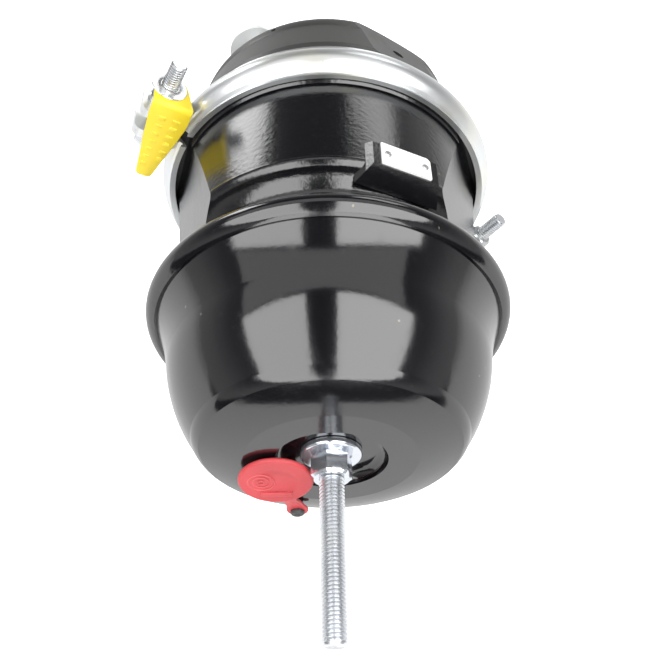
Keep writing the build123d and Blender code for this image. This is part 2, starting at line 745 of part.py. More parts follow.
with BuildPart() as power_spring:
    lift = power_wire + 0.15
    section, path = coil(power_small_r, pressure_plate_r - 2.0 - power_wire - 0.5, head_end + sheet_t + lift,
                         pressure_front - lift, 2.5, power_wire)
    sweep(section, path=path, is_frenet=True)
power_spring.part.label = "power_spring"
export_step(power_spring.part, "parts/power_spring.step")

tee_y = hub_front + hub_wall + seat_gap
with BuildPart() as release_bolt:
    extrude(box_at(axial(0, tee_y, 0), tee_len, tee_wide), amount=tee_t)
    extrude(round_at(axial(0, head_end - bolt_out, 0), bolt_r), amount=tee_y - head_end + bolt_out)
    chamfer(release_bolt.edges().group_by(Axis.Y)[0], length=1.0)
release_bolt.part.label = "release_bolt"
export_step(release_bolt.part, "parts/release_bolt.step")

with BuildPart() as release_washer:
    revolve(ring(bolt_r + loose_gap, washer_r, seat_y - washer_t, seat_y), axis=Axis.Y)
release_washer.part.label = "release_washer"
export_step(release_washer.part, "parts/release_washer.step")

nut_y = seat_y - washer_t - 0.02
with BuildPart() as release_nut:
    extrude(hex_at(axial(0, nut_y - nut_h, 0), nut_af), amount=nut_h)
    revolve(
        profile(
            (nut_af / 2 - 0.4, nut_y - nut_h),
            (nut_af / 2 + 3.0, nut_y - nut_h),
            (nut_af / 2 + 3.0, nut_y - nut_h + 2.0),
        ),
        axis=Axis.Y,
        mode=Mode.SUBTRACT,
    )
    extrude(round_at(axial(0, nut_y + 1, 0), bolt_r + thread_gap), amount=-30, mode=Mode.SUBTRACT)
release_nut.part.label = "release_nut"
export_step(release_nut.part, "parts/release_nut.step")

# Dust cap on its strap, and the peg that holds the strap
eyelet_y = head_end - 0.4
with BuildPart() as cap_peg:
    extrude(round_at(axial(peg_x, eyelet_y - strap_t - 0.1, peg_z), peg_r), amount=strap_t + 9.0)
    with BuildSketch(axial(peg_x, eyelet_y - strap_t - 0.1, peg_z)):
        Circle(peg_head_r)
    extrude(amount=-2.4, taper=12)
    extrude(round_at(axial(peg_x, head_end + 7.2, peg_z), peg_r + 1.2), amount=1.4)
cap_peg.part.label = "cap_peg"
export_step(cap_peg.part, "parts/cap_peg.step")

cap_plane = axial(cap_x, head_end - cap_stand, cap_z) * Rot(X=cap_tilt)
with BuildPart() as dust_cap:
    extrude(round_at(cap_plane, cap_r), amount=-cap_t)
    extrude(round_at(cap_plane, cap_plug_r), amount=2.0)
    with BuildSketch(axial(peg_x, eyelet_y, peg_z)) as strap:
        Circle(eyelet_r)
        with Locations((-1.5, -strap_foot - strap_len / 2)):
            Rectangle(strap_w, strap_len)
        Circle(peg_r + slide_gap, mode=Mode.SUBTRACT)
    extrude(strap.sketch, amount=-strap_t)
dust_cap.part.label = "dust_cap"
export_step(dust_cap.part, "parts/dust_cap.step")
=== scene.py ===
"""Spring brake chamber: the finished look of every visible piece, in the CAD frame, in metres."""
from math import atan2, ceil, cos, pi, radians, sin, sqrt

import bmesh
import bpy
from mathutils import Matrix, Vector


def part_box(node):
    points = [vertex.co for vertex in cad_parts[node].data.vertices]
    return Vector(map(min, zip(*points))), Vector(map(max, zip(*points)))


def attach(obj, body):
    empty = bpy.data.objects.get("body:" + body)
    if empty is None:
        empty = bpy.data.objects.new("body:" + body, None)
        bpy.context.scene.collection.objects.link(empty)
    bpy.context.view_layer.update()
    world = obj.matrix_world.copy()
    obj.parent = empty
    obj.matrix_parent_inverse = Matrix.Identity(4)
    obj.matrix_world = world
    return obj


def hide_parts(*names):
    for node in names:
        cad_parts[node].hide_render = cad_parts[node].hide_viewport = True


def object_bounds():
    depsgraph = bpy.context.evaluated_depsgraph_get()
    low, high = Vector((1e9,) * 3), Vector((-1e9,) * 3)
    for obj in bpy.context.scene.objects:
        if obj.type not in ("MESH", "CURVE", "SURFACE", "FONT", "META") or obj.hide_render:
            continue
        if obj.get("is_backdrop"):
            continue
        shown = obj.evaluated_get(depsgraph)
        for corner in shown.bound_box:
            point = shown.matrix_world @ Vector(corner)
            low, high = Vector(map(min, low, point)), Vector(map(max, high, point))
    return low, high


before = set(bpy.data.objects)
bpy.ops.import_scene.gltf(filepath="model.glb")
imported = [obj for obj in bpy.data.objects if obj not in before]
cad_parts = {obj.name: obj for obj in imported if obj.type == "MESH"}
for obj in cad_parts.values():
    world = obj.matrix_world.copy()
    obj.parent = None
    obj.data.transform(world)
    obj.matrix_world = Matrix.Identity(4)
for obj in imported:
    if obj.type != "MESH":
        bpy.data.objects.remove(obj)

CAD_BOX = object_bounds()
MM = 0.001

# ---------------------------------------------------------------- sizes read from the frame
FLOOR_Z = CAD_BOX[0][2]
BOLT_LOW, BOLT_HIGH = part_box("release_bolt")
NUT_LOW, NUT_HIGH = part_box("release_nut")
WASHER_LOW, WASHER_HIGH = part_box("release_washer")
CLAMP_Y = -71.5 * MM
BOLT_CLOCK, BOLT_LEAN = 32.4, 3.5      # degrees: direction of the clamp's split, splay of each bolt
BOLT_LINES = {-1: 117.2, 1: 113.0}     # distance of each bolt from the axis, mm
EAR_TOP, EAR_UNDER = 11.0, -10.0       # outer faces of the clamp's ears along the bolt, mm
TAG_BASE = 21.0                        # seat of the tag along the bolt, mm


# ---------------------------------------------------------------- meshes
def finish_mesh(name, mesh, material, body, replaced=(), angle=35):
    """Gives a new mesh its object, material, body and the CAD nodes it stands for."""
    piece = bpy.data.objects.new(name, mesh)
    bpy.context.scene.collection.objects.link(piece)
    for face in mesh.polygons:
        face.use_smooth = True
    mesh.set_sharp_from_angle(angle=radians(angle))
    mesh.materials.clear()
    mesh.materials.append(material)
    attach(piece, body)
    if replaced:
        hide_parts(*replaced)
    return piece


def arc(start, middle, end, steps):
    """Points of the circle through three points, without the start point."""
    (ax, ay), (bx, by), (cx, cy) = start, middle, end
    d = 2 * (ax * (by - cy) + bx * (cy - ay) + cx * (ay - by))
    a, b, c = ax * ax + ay * ay, bx * bx + by * by, cx * cx + cy * cy
    ux = (a * (by - cy) + b * (cy - ay) + c * (ay - by)) / d
    uy = (a * (cx - bx) + b * (ax - cx) + c * (bx - ax)) / d
    radius = sqrt((ax - ux) ** 2 + (ay - uy) ** 2)
    first, mid, last = (atan2(y - uy, x - ux) for x, y in (start, middle, end))
    sweep = (last - first) % (2 * pi)
    if (mid - first) % (2 * pi) > sweep:
        sweep -= 2 * pi
    return [
        (ux + radius * cos(first + sweep * i / steps), uy + radius * sin(first + sweep * i / steps))
        for i in range(1, steps + 1)
    ]


def outline(start, *steps, fine=10):
    """Points (radius, along) in mm; a step is an end point or an arc's middle and end."""
    points = [start]
    for step in steps:
        if len(step) == 2:
            points.append(step)
        else:
            points += arc(points[-1], step[:2], step[2:], fine)
    return points


def closed(bm, name, turn=None):
    """Mesh of a finished bmesh, faces turned outwards, moved by turn."""
    bmesh.ops.recalc_face_normals(bm, faces=bm.faces)
    if turn is not None:
        bmesh.ops.transform(bm, matrix=turn, verts=bm.verts)
    mesh = bpy.data.meshes.new(name)
    bm.to_mesh(mesh)
    bm.free()
    return mesh


def skinned(bm, rows, name):
    """Closed mesh from rows of vertices, each row a loop of the same count."""
    for lower, upper in zip(rows, rows[1:]):
        for i in range(len(lower)):
            j = (i + 1) % len(lower)
            bm.faces.new((lower[i], lower[j], upper[j], upper[i]))
    bm.faces.new(rows[0])
    bm.faces.new(rows[-1])
    return closed(bm, name)


def lathe(points, turn=Matrix.Identity(4), segments=160):
    """Closed solid of revolution about its own Y axis, from (radius, along) points in mm."""
    bm = bmesh.new()
    rings = []
    for radius, along in points:
        if radius < 1e-6:
            rings.append([bm.verts.new((0, along * MM, 0))])
        else:
            rings.append([
                bm.verts.new((radius * MM * sin(2 * pi * i / segments), along * MM,
                              radius * MM * cos(2 * pi * i / segments)))
                for i in range(segments)
            ])
    for low, high in zip(rings, rings[1:] + rings[:1]):
        if len(low) == 1 and len(high) == 1:
            continue
        for i in range(segments):
            j = (i + 1) % segments
            if len(low) == 1:
                bm.faces.new((low[0], high[j], high[i]))
            elif len(high) == 1:
                bm.faces.new((low[i], low[j], high[0]))
            else:
                bm.faces.new((low[i], low[j], high[j], high[i]))
    return closed(bm, "turned", turn)


def joined(*meshes):
    """One mesh from several."""
    bm = bmesh.new()
    for mesh in meshes:
        bm.from_mesh(mesh)
        bpy.data.meshes.remove(mesh)
    mesh = bpy.data.meshes.new("joined")
    bm.to_mesh(mesh)
    bm.free()
    return mesh


def thread(radius, pitch, low, high, turn=Matrix.Identity(4), chamfer=1.2, segments=40):
    """Right-hand screw along +Y from low to high, in mm, closed and chamfered at both ends."""
    depth = 0.6 * pitch
    # (share of the pitch, share of the depth): crest, flank, root, flank
    form = ((0.0, 0.0), (0.12, 0.0), (0.44, 1.0), (0.56, 1.0), (0.88, 0.0))
    per_turn = len(form)
    turns = ceil((high - low) / pitch) + 2
    bm = bmesh.new()
    rows = []
    for u in range(segments * turns + 1):
        angle = 2 * pi * u / segments
        row = []
        for share, sunk in form:
            along = min(max(low + pitch * (u / segments + share - 1.5), low), high)
            rim = radius - chamfer + min(along - low, high - along)
            reach = min(radius - depth * sunk, max(rim, radius - chamfer))
            row.append(bm.verts.new((reach * MM * sin(angle), along * MM, reach * MM * cos(angle))))
        rows.append(row)
    for u in range(segments * turns):
        for j in range(per_turn - 1):
            bm.faces.new((rows[u][j], rows[u + 1][j], rows[u + 1][j + 1], rows[u][j + 1]))
        if u + 1 + segments <= segments * turns:
            j = per_turn - 1
            bm.faces.new((rows[u][j], rows[u + 1][j], rows[u + 1 + segments][0], rows[u + segments][0]))
    for along in (low, high):
        tip = [
            bm.verts.new(((radius - chamfer) * MM * sin(2 * pi * i / segments), along * MM,
                          (radius - chamfer) * MM * cos(2 * pi * i / segments)))
            for i in range(segments)
        ]
        bm.faces.new(tip)
    bmesh.ops.remove_doubles(bm, verts=bm.verts, dist=1e-6)
    return closed(bm, "thread", turn)


def hex_nut(across, low, high, bore, turn=Matrix.Identity(4), both=True, flange=0.0, flange_t=0.0):
    """Hexagon with chamfered corners about its own Y axis; a bore of 0 makes a bolt head."""
    segments, steps = 96, 9
    face_inset, corner_slope = 0.4, 1.9    # chamfer cone: mm inside the flats at the face, mm out per mm down
    crest = across / 2
    tall = high - low
    bm = bmesh.new()
    rings = []

    def ring_at(along, radii):
        return [
            bm.verts.new((radii[i] * MM * sin(2 * pi * i / segments), along * MM,
                          radii[i] * MM * cos(2 * pi * i / segments)))
            for i in range(segments)
        ]

    hexagon = [crest / cos((2 * pi * i / segments) % (pi / 3) - pi / 6) for i in range(segments)]
    for k in range(steps + 1):
        share = k / steps
        along = high - tall * share
        from_end = tall * share if not both else min(tall * share, tall * (1 - share))
        cone = crest - face_inset + from_end * corner_slope
        rings.append(ring_at(along, [min(h, cone) for h in hexagon]))
    if flange:
        rings.append(ring_at(low + flange_t, [crest * 1.06] * segments))
        rings.append(ring_at(low + flange_t * 0.55, [flange] * segments))
        rings.append(ring_at(low, [flange] * segments))
    if bore:
        rings.append(ring_at(low, [bore] * segments))
        rings.append(ring_at(high, [bore] * segments))
    for lower, upper in zip(rings, rings[1:] + (rings[:1] if bore else [])):
        for i in range(segments):
            j = (i + 1) % segments
            bm.faces.new((lower[i], lower[j], upper[j], upper[i]))
    if not bore:
        bm.faces.new(rings[0])
        bm.faces.new(rings[-1])
    return closed(bm, "hex", turn)


# ---------------------------------------------------------------- shader maths
class Value:
    """A number socket that sums, products and comparisons can be written with."""

    def __init__(self, paint, socket):
        self.paint, self.socket = paint, socket

    def maths(self, operation, *others):
        return self.paint.maths(operation, self, *others)

    def __add__(self, other):
        return self.maths("ADD", other)

    def __sub__(self, other):
        return self.maths("SUBTRACT", other)

    def __mul__(self, other):
        return self.maths("MULTIPLY", other)

    def __rsub__(self, other):
        return self.paint.maths("SUBTRACT", other, self)

    def __gt__(self, other):
        return self.maths("GREATER_THAN", other)

    def __lt__(self, other):
        return self.maths("LESS_THAN", other)

    __radd__ = __add__
    __rmul__ = __mul__


class Paint:
    """One node material or world, with a single method that makes every node."""

    def __init__(self, owner):
        owner.use_nodes = True
        self.tree = owner.node_tree
        self.tree.nodes.clear()

    def node(self, kind, inputs=None, stops=None, **settings):
        made = self.tree.nodes.new("ShaderNode" + kind)
        for key, value in settings.items():
            setattr(made, key, value)
        if stops:
            ramp = made.color_ramp
            while len(ramp.elements) < len(stops):
                ramp.elements.new(0.5)
            for element, (place, shade) in zip(ramp.elements, stops):
                element.position = place
                element.color = (*shade, 1.0) if hasattr(shade, "__len__") else (shade, shade, shade, 1.0)
        for key, value in (inputs or {}).items():
            self.feed(made.inputs[key], value)
        return made

    def feed(self, socket, value):
        if isinstance(value, Value):
            value = value.socket
        if isinstance(value, bpy.types.NodeSocket):
            self.tree.links.new(value, socket)
        else:
            socket.default_value = value

    def value(self, node, output=0):
        return Value(self, node.outputs[output])

    def maths(self, operation, *values):
        return self.value(self.node("Math", dict(enumerate(values)), operation=operation))

    def blend(self, share, low, high):
        """Colour between low and high."""
        low, high = ((*c, 1.0) if isinstance(c, tuple) and len(c) == 3 else c for c in (low, high))
        return self.node("Mix", {0: share, 6: low, 7: high}, data_type="RGBA").outputs[2]

    def place(self):
        return self.node("TexCoord").outputs["Object"]

    def noise(self, scale, detail=3.0, rough=0.55, stretch=None):
        where = self.place()
        if stretch:
            where = self.node("Mapping", {"Vector": where, "Scale": stretch}).outputs[0]
        return self.value(self.node("TexNoise", {"Vector": where, "Scale": scale, "Detail": detail,
                                                 "Roughness": rough}), 0)

    def cells(self, scale):
        """Distance to the nearest point of a scatter."""
        return self.value(self.node("TexVoronoi", {"Vector": self.place(), "Scale": scale}, feature="F1"))

    def between(self, value, low, high, out_low=0.0, out_high=1.0):
        """Value from low..high brought to out_low..out_high, held at the ends."""
        return self.value(self.node("MapRange", {0: value, 1: low, 2: high, 3: out_low, 4: out_high}))

    def bump(self, height, strength, distance, under=None):
        inputs = {"Height": height, "Strength": strength, "Distance": distance}
        if under is not None:
            inputs["Normal"] = under
        return self.node("Bump", inputs).outputs[0]

    def surface(self, **inputs):
        shader = self.node("BsdfPrincipled", {key.replace("_", " "): value for key, value in inputs.items()})
        self.node("OutputMaterial", {"Surface": shader.outputs[0]})


def new_paint(name):
    material = bpy.data.materials.new(name)
    return material, Paint(material)


def edge_wear(paint, radius):
    """Near 1 on sharp edges, from the difference between the true and the bevelled normal."""
    soft = paint.node("Bevel", {"Radius": radius}, samples=4).outputs[0]
    true = paint.node("NewGeometry").outputs["Normal"]
    dot = paint.node("VectorMath", {0: soft, 1: true}, operation="DOT_PRODUCT").outputs["Value"]
    return paint.between(Value(paint, dot), 0.97, 0.80)


def gloss_black(name, cast=0.0):
    """Sprayed gloss enamel: orange peel, dust, fine rubs and a few pale chips."""
    material, p = new_paint(name)
    dust = p.between(p.noise(210.0, 4.0, 0.7), 0.62, 0.80)
    drift = p.noise(9.0, 3.0, 0.6)
    chips = (p.cells(95.0) < 0.07) * (p.noise(30.0, 2.0) > 0.60)
    rub = p.between(p.noise(60.0, 5.0, 0.7, stretch=(1.0, 0.15, 1.0)), 0.56, 0.75)
    base = p.blend(drift, (0.0015, 0.0015, 0.0022), (0.0035, 0.0035, 0.0045))
    base = p.blend(dust * 0.04, base, (0.22, 0.21, 0.20))
    base = p.blend(chips * 0.5, base, (0.20, 0.17, 0.11))
    peel = p.bump(p.noise(420.0, 2.0, 0.5), 0.05 + 0.20 * cast, 0.0004)
    sand = p.bump(p.noise(1300.0, 3.0, 0.6), 0.03 + 0.22 * cast, 0.00012, peel)
    dull = p.between(dust * 0.5 + rub * 0.5 + drift * 0.3, 0.0, 1.0, 0.09 + 0.05 * cast, 0.26)
    p.surface(Base_Color=base, Roughness=dull, IOR=1.80, Normal=sand)
    return material


def satin_black(name):
    """Thinner, duller coat of the pressed housing: even grey sheen, faint runs and paler sharp edges."""
    material, p = new_paint(name)
    drift = p.noise(14.0, 3.0, 0.6)
    runs = p.between(p.noise(34.0, 4.0, 0.6, stretch=(1.0, 0.2, 1.0)), 0.55, 0.78)
    base = p.blend(drift, (0.022, 0.022, 0.021), (0.034, 0.034, 0.032))
    base = p.blend(edge_wear(p, 0.0006) * 0.25, base, (0.16, 0.16, 0.16))
    p.surface(Base_Color=base, Roughness=p.between(drift * 0.6 + runs * 0.5, 0.0, 1.0, 0.36, 0.52), IOR=1.60,
              Normal=p.bump(p.noise(900.0, 3.0, 0.6), 0.12, 0.0002))
    return material


def zinc_plate(name, tone=(0.74, 0.76, 0.79), rough=0.24, yellow=0.5, metallic=0.92):
    """Bright zinc: cloudy passivation, faint blue and straw tints, fine scratches and dull spots."""
    material, p = new_paint(name)
    cloud = p.noise(38.0, 4.0, 0.65)
    straw = p.between(p.noise(17.0, 2.0), 0.52, 0.74) * yellow
    spots = p.between(p.noise(170.0, 3.0, 0.7), 0.66, 0.80)
    scratch = p.between(p.noise(90.0, 3.0, 0.6, stretch=(1.0, 14.0, 1.0)), 0.60, 0.72)
    base = p.blend(cloud, tuple(0.86 * c for c in tone), tone)
    base = p.blend(straw, base, (0.80, 0.78, 0.66))
    base = p.blend(spots * 0.45, base, (0.30, 0.30, 0.31))
    lumps = p.bump(p.noise(650.0, 2.0), 0.06, 0.0002)
    p.surface(Base_Color=base, Metallic=metallic,
              Roughness=p.between(cloud * 0.6 + spots * 0.3 + scratch * 0.2, 0.2, 0.9, rough, rough + 0.16),
              Normal=p.bump(scratch, 0.05, 0.0001, lumps))
    return material


def plastic(name, colour, deep, rough, worn=(0.9, 0.9, 0.9), wear=0.25):
    """Moulded plastic: slight shade drift, fine grain, paler rubbed edges."""
    material, p = new_paint(name)
    drift = p.noise(55.0, 3.0)
    fine = p.noise(700.0, 3.0, 0.6)
    base = p.blend(drift, deep, colour)
    base = p.blend(edge_wear(p, 0.0005) * wear, base, worn)
    p.surface(Base_Color=base, Roughness=p.between(fine, 0.2, 0.8, rough, rough + 0.12),
              Normal=p.bump(fine, 0.06, 0.0002))
    return material


def plain_metal(name, tone, rough, metallic=0.9, stretch=(1.0, 1.0, 1.0), scale=120.0):
    """Bare metal with a fine grain, which stretch draws out along one axis."""
    material, p = new_paint(name)
    grain = p.noise(scale, 4.0, 0.65, stretch=stretch)
    base = p.blend(grain, tuple(0.78 * c for c in tone), tone)
    p.surface(Base_Color=base, Metallic=metallic, Roughness=p.between(grain, 0.2, 0.8, rough, rough + 0.14),
              Normal=p.bump(grain, 0.05, 0.0001))
    return material


def moulded_rubber(name, tone):
    """Matt rubber or soft plastic with a fine grain."""
    material, p = new_paint(name)
    grain = p.noise(500.0, 4.0, 0.7)
    base = p.blend(grain, tuple(0.7 * c for c in tone), tone)
    p.surface(Base_Color=base, Roughness=p.between(grain, 0.2, 0.8, 0.55, 0.75),
              Normal=p.bump(grain, 0.10, 0.0002))
    return material


SHELL_PAINT = gloss_black("gloss_black_enamel")
CAST_PAINT = gloss_black("gloss_black_on_casting", cast=1.0)
HOUSING_PAINT = satin_black("satin_black_on_housing")
# Studs, their nuts and washers: a brightened copy of the zinc, tone pushed near white with low metallic, as
# painted light standing in for the strong light they catch
STUD_ZINC_PAINTED_BRIGHT = zinc_plate("stud_zinc_painted_bright", tone=(0.93, 0.95, 0.95), rough=0.34, yellow=0.2, metallic=0.45)
ZINC = zinc_plate("bright_zinc")
CLAMP_ZINC = zinc_plate("clamp_zinc", tone=(0.80, 0.82, 0.83), rough=0.28, yellow=0.8)
NUT_ZINC = zinc_plate("nut_zinc", tone=(0.72, 0.75, 0.80), rough=0.14, yellow=0.15)
TAG_YELLOW = plastic("tag_yellow", (0.70, 0.54, 0.024), (0.60, 0.45, 0.016), 0.38, worn=(0.95, 0.85, 0.30))
CAP_RED = plastic("cap_red", (0.43, 0.036, 0.042), (0.34, 0.025, 0.030), 0.42,
                  worn=(0.9, 0.35, 0.35), wear=0.3)
PEG_BLACK = plastic("peg_black", (0.035, 0.035, 0.037), (0.020, 0.020, 0.022), 0.40, worn=(0.2, 0.2, 0.2))
PLATE_METAL = plain_metal("plate_aluminium", (0.96, 0.96, 0.94), 0.34, 0.12, (1.0, 1.0, 9.0), 240.0)
RIVET_METAL = plain_metal("rivet_aluminium", (0.55, 0.55, 0.56), 0.30)
DIAPHRAGM = moulded_rubber("diaphragm_rubber", (0.035, 0.035, 0.036))
SPRING_STEEL = plain_metal("spring_steel", (0.12, 0.12, 0.13), 0.40, 0.5)
PLAIN_STEEL = plain_metal("plain_steel", (0.42, 0.42, 0.44), 0.38)
BUSH = moulded_rubber("bush_plastic", (0.60, 0.57, 0.50))
# Clamp nuts: a darkened copy of the zinc, painted shade standing in for the shadow and dark reflections of
# the black chamber on the nuts; the higher roughness is the dull finish
DULL_ZINC_PAINTED_SHADE = zinc_plate("dull_zinc_painted_shade", tone=(0.50, 0.52, 0.54), rough=0.34, yellow=0.3)

NODE_FINISH = {
    "spring_head": SHELL_PAINT, "flange_case": CAST_PAINT, "non_pressure_housing": HOUSING_PAINT,
    "clamp_half_upper": CLAMP_ZINC, "clamp_half_lower": CLAMP_ZINC,
    "stud_nuts": STUD_ZINC_PAINTED_BRIGHT, "stud_washers": STUD_ZINC_PAINTED_BRIGHT, "release_washer": NUT_ZINC,
    "service_diaphragm": DIAPHRAGM, "spring_diaphragm": DIAPHRAGM, "guide_o_rings": DIAPHRAGM,
    "push_plate": PLAIN_STEEL, "adapter_plate": PLAIN_STEEL, "adapter_push_rod": PLAIN_STEEL,
    "pressure_plate": PLAIN_STEEL, "centre_guide": BUSH,
    "return_spring": SPRING_STEEL, "adapter_return_spring": SPRING_STEEL, "power_spring": SPRING_STEEL,
    "mounting_studs": STUD_ZINC_PAINTED_BRIGHT, "push_rod": ZINC, "push_rod_jam_nut": ZINC,
    "clamp_bolts": ZINC, "clamp_nuts": DULL_ZINC_PAINTED_SHADE, "tag_retainer": ZINC, "stroke_tag": TAG_YELLOW,
    "nameplate": PLATE_METAL, "nameplate_rivets": RIVET_METAL,
    "release_bolt": ZINC, "release_nut": NUT_ZINC, "cap_peg": PEG_BLACK, "dust_cap": CAP_RED,
}
for node, material in NODE_FINISH.items():
    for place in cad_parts[node].material_slots:
        place.material = material

# ---------------------------------------------------------------- release bolt, nut and washer
INCH = 25.4
NUT_GAP = 0.05                 # radial, nut on its bolt
BOLT_R = 6.35
BOLT_PITCH = INCH / 13
RELEASE_NUT_ACROSS = 19.05
RELEASE_NUT_CLOCK = -13        # degrees
TEE = (14.0, 3.5, 6.0)         # half sizes of the bolt's T head


def rounded_box(half, centre, rounding, steps=3):
    """Block with rounded edges, sizes in mm."""
    bm = bmesh.new()
    corners = [(x, y, z) for x in (-1, 1) for y in (-1, 1) for z in (-1, 1)]
    verts = [
        bm.verts.new([(c + s * h) * MM for c, s, h in zip(centre, corner, half)])
        for corner in corners
    ]
    for a, b, c, d in ((0, 1, 3, 2), (4, 6, 7, 5), (0, 4, 5, 1), (2, 3, 7, 6), (0, 2, 6, 4), (1, 5, 7, 3)):
        bm.faces.new((verts[a], verts[b], verts[c], verts[d]))
    bmesh.ops.recalc_face_normals(bm, faces=bm.faces)
    bmesh.ops.bevel(bm, geom=bm.edges[:], offset=rounding * MM, segments=steps, affect="EDGES", profile=0.5)
    mesh = bpy.data.meshes.new("block")
    bm.to_mesh(mesh)
    bm.free()
    return mesh


def moved(mesh, turn):
    mesh.transform(turn)
    return mesh


tee_back = BOLT_HIGH.y / MM
finish_mesh(
    "release_bolt_threaded",
    joined(thread(BOLT_R, BOLT_PITCH, BOLT_LOW.y / MM, tee_back - 2 * TEE[1]),
           rounded_box(TEE, (0, tee_back - TEE[1], 0), 0.8)),
    ZINC, "spring_piston", ("release_bolt",), angle=50,
)
NUT_TURN = Matrix.Rotation(radians(RELEASE_NUT_CLOCK), 4, "Y")
finish_mesh(
    "release_nut_chamfered",
    hex_nut(RELEASE_NUT_ACROSS, NUT_LOW.y / MM, NUT_HIGH.y / MM, BOLT_R + NUT_GAP, turn=NUT_TURN),
    NUT_ZINC, "nut", ("release_nut",), angle=25,
)
low, high = WASHER_LOW.y / MM, WASHER_HIGH.y / MM
finish_mesh(
    "release_washer_rounded",
    lathe(outline((6.8, low), (14.2, low), (15.5, low + 0.15, 16.05, low + 1.0), (16.05, high - 0.5),
                  (15.6, high), (6.8, high), fine=6)),
    NUT_ZINC, "chamber", ("release_washer",),
)

# ---------------------------------------------------------------- clamp bolts, nuts, tag and its retainer
def clamp_place(side):
    """Frame of a clamp bolt: own Y along the bolt, own X away from the chamber's middle."""
    own, split = radians(BOLT_CLOCK + side * BOLT_LEAN), radians(BOLT_CLOCK)
    start = Vector((cos(split), 0, -sin(split))) * side * BOLT_LINES[side] * MM + Vector((0, CLAMP_Y, 0))
    turn = Matrix(((cos(own), sin(own), 0), (0, 0, -1), (-sin(own), cos(own), 0)))
    return Matrix.Translation(start) @ turn.to_4x4()


HEAD_FIRST = Matrix.Rotation(pi, 4, "X")
CLAMP_BOLT_R, CLAMP_PITCH = 4.76, INCH / 16
CLAMP_BOLT_TIP, CLAMP_HEAD_TOP = 39.5, 21.3
CLAMP_ACROSS = 14.3
CLAMP_FLANGE = {"flange": 8.6, "flange_t": 2.4}     # foot of the flanged nuts and heads
for side, hand in ((-1, "left"), (1, "right")):
    place = clamp_place(side)
    finish_mesh(
        "clamp_bolt_" + hand,
        joined(thread(CLAMP_BOLT_R, CLAMP_PITCH, EAR_UNDER, CLAMP_BOLT_TIP, turn=place, chamfer=0.9,
                      segments=32),
               hex_nut(CLAMP_ACROSS, -EAR_UNDER, CLAMP_HEAD_TOP, 0, turn=place @ HEAD_FIRST, both=False,
                       **CLAMP_FLANGE)),
        ZINC, "chamber", ("clamp_bolts",), angle=50,
    )
    finish_mesh(
        "clamp_nut_" + hand,
        hex_nut(CLAMP_ACROSS, EAR_TOP, TAG_BASE, CLAMP_BOLT_R + NUT_GAP, turn=place, both=False,
                **CLAMP_FLANGE),
        DULL_ZINC_PAINTED_SHADE, "chamber", ("clamp_nuts",), angle=25,
    )

left = clamp_place(-1)
TAG_T, BEND = 1.2, 3.4                  # sheet, outer radius of its bend
TAG_FRONT, TAG_DROP = 14.6, 58.0        # front face along own z, length that hangs down
TAG_REAR = -10.6                        # rear edge along own z


def tag_mesh():
    """Sheet swept from behind the bolt, over a rounded bend and down in front of it."""
    # (own z of the outer face, own y of the outer face, angle of the sheet, x left, x right)
    stations = []
    top = TAG_BASE + TAG_T
    for share in (0.0, 0.03, 0.1, 0.2, 0.35, 0.5, 0.75, 1.0):
        z = TAG_REAR + share * (TAG_FRONT - TAG_REAR - BEND)
        curve = 1 - sqrt(max(0.0, 1 - max(0.0, 1 - share * 3.2) ** 2))
        wide = 0.5 * share
        stations.append((z, top, 0.0, -8.4 + 7.0 * curve + wide, 9.8 - 7.6 * curve + 5.6 * share ** 1.2))
    for k in range(1, 9):
        turn = pi / 2 * k / 8
        stations.append((TAG_FRONT - BEND + BEND * sin(turn), top - BEND + BEND * cos(turn), turn,
                         -7.7, 15.5))
    for drop, x0, x1 in ((8.0, -7.4, 15.9), (13.0, -6.9, 15.8), (23.0, -5.4, 14.6), (34.0, -3.7, 13.0),
                         (46.0, -1.7, 11.1), (54.0, -0.4, 10.0), (56.6, 0.2, 9.4), (57.7, 1.2, 8.2),
                         (TAG_DROP, 2.6, 6.6)):
        stations.append((TAG_FRONT, top - drop, pi / 2, x0, x1))
    bm = bmesh.new()
    rows = []
    for z, y, turn, x0, x1 in stations:
        out = Vector((0, cos(turn), sin(turn)))
        edge = min(0.35, 0.2 * (x1 - x0))
        middle = (x0 + x1) / 2
        section = ((x0 + edge, 0.0), (middle, 0.0), (x1 - edge, 0.0), (x1, 0.3), (x1, TAG_T - 0.3),
                   (x1 - edge, TAG_T), (middle, TAG_T), (x0 + edge, TAG_T), (x0, TAG_T - 0.3), (x0, 0.3))
        rows.append([bm.verts.new((Vector((x, y, z)) - out * depth) * MM) for x, depth in section])
    return skinned(bm, rows, "tag")


raised = []                    # plain raised dashes, no characters
for column, (x, first, count) in enumerate(((8.9, 10.0, 6), (0.8, 11.0, 7))):
    for k in range(count):
        drop = first + 6.2 * k
        raised.append(rounded_box((2.2 - 0.12 * k, 0.9 + 0.5 * ((k + column) % 2), 0.35),
                                  (x + 0.02 * drop, TAG_BASE + TAG_T - drop, TAG_FRONT + 0.05), 0.3, 2))
finish_mesh("stroke_tag_bent", moved(joined(tag_mesh(), *raised), left),
            TAG_YELLOW, "chamber", ("stroke_tag",), angle=50)
base = TAG_BASE + TAG_T
finish_mesh(
    "tag_retainer_pressed",
    lathe(outline((5.0, base + 0.02), (10.1, base + 0.02), (10.5, base + 0.35), (10.1, base + 0.8),
                  (7.0, base + 0.8), (6.2, base + 1.0, 5.6, base + 1.2), (5.0, base + 1.2), fine=4),
          left, 96),
    ZINC, "chamber", ("tag_retainer",),
)

